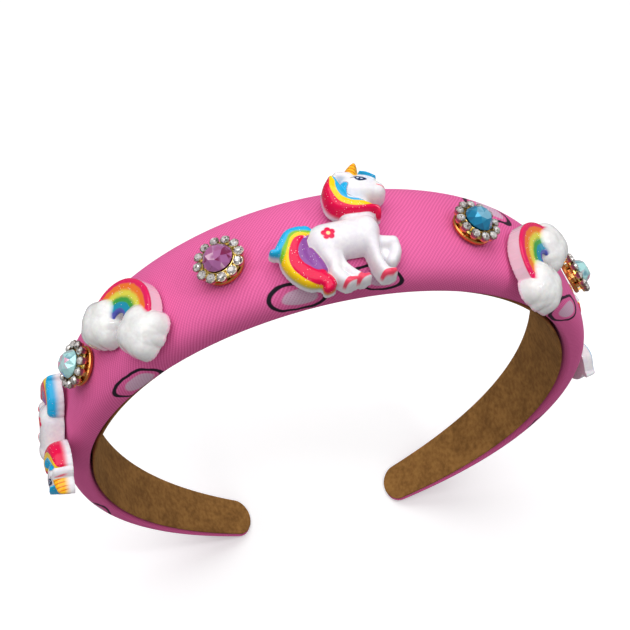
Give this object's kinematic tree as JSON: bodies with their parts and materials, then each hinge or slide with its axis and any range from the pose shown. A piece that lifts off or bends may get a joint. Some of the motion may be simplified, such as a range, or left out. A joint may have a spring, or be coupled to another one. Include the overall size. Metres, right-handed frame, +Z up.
{
  "type": "padded headband with resin charms and gem studs",
  "caption": "Curved padded cloth headband, suede-lined and open at the nape, with cast unicorn and rainbow charms and gem studs glued along its crown.",
  "frame": {"origin": "on the ground under the middle of the whole headband, standing upright on its two tips", "axes": "+X from the left tip to the right tip as the picture shows it, +Y from the forehead edge to the back edge, +Z up to the crown"},
  "size_m": [0.1492, 0.0366, 0.1604],
  "materials": {
    "pink_fabric": "bright pink woven cloth over padding, with a black-outlined white print",
    "tan_suede": "mottled tan-brown suede, matt",
    "painted_resin": "glossy white cast resin with bright painted stripes",
    "copper_gold": "polished copper-gold plating round small clear stones",
    "pink_gem": "faceted lilac-pink stone, foiled back",
    "blue_gem": "faceted deep aqua stone, foiled back",
    "clear_gem": "faceted clear stone with a mint and pink sheen"
  },
  "bodies": {
    "root": {"padded_band": "pink_fabric", "suede_lining": "tan_suede", "unicorn_centre": "painted_resin", "unicorn_left": "painted_resin", "unicorn_right": "painted_resin", "rainbow_left": "painted_resin", "rainbow_right": "painted_resin", "pink_stud_setting": "copper_gold", "pink_stud_stone": "pink_gem", "blue_stud_setting": "copper_gold", "blue_stud_stone": "blue_gem", "left_clear_stud_setting": "copper_gold", "left_clear_stud_stone": "clear_gem", "right_clear_stud_setting": "copper_gold", "right_clear_stud_stone": "clear_gem"}
  },
  "joints": []
}
